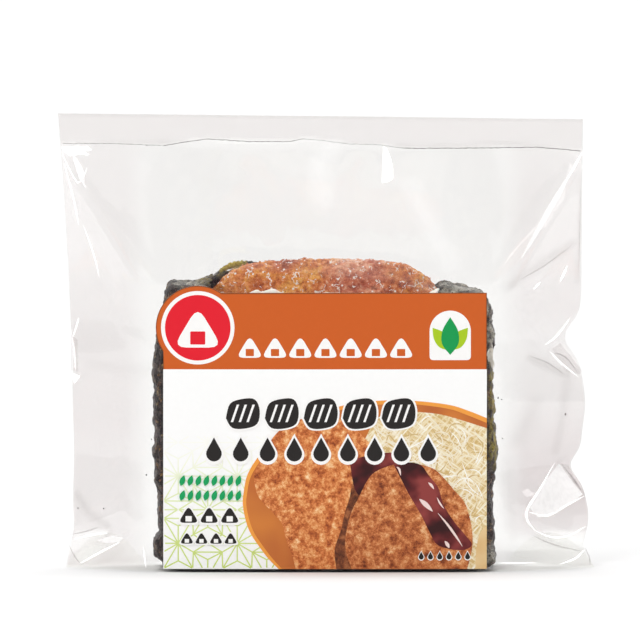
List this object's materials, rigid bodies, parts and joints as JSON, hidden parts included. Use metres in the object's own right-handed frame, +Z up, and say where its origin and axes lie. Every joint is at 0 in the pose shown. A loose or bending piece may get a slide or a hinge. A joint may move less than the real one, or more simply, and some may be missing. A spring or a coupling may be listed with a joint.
{
  "type": "packed onigirazu",
  "caption": "Seaweed-wrapped rice sandwich with a glazed cutlet, standing upright in a clear heat-sealed bag with a die-cut printed label on the front.",
  "frame": {"origin": "on the surface that the bag stands on, under the middle of the rice sandwich", "axes": "+X to the right across the label, +Y away from the labelled front, +Z up towards the sealed header"},
  "size_m": [0.1234, 0.0375, 0.1045],
  "materials": {
    "clear_film": "clear, glossy",
    "label_paper": "coated, satin, printed in orange, white and food colours",
    "nori": "moist, satin, crinkled",
    "rice": "moist, slightly translucent",
    "cutlet": "glazed crumb",
    "mayonnaise": "glossy"
  },
  "bodies": {
    "root": {"bag": "clear_film", "label": "label_paper"}
  },
  "joints": []
}
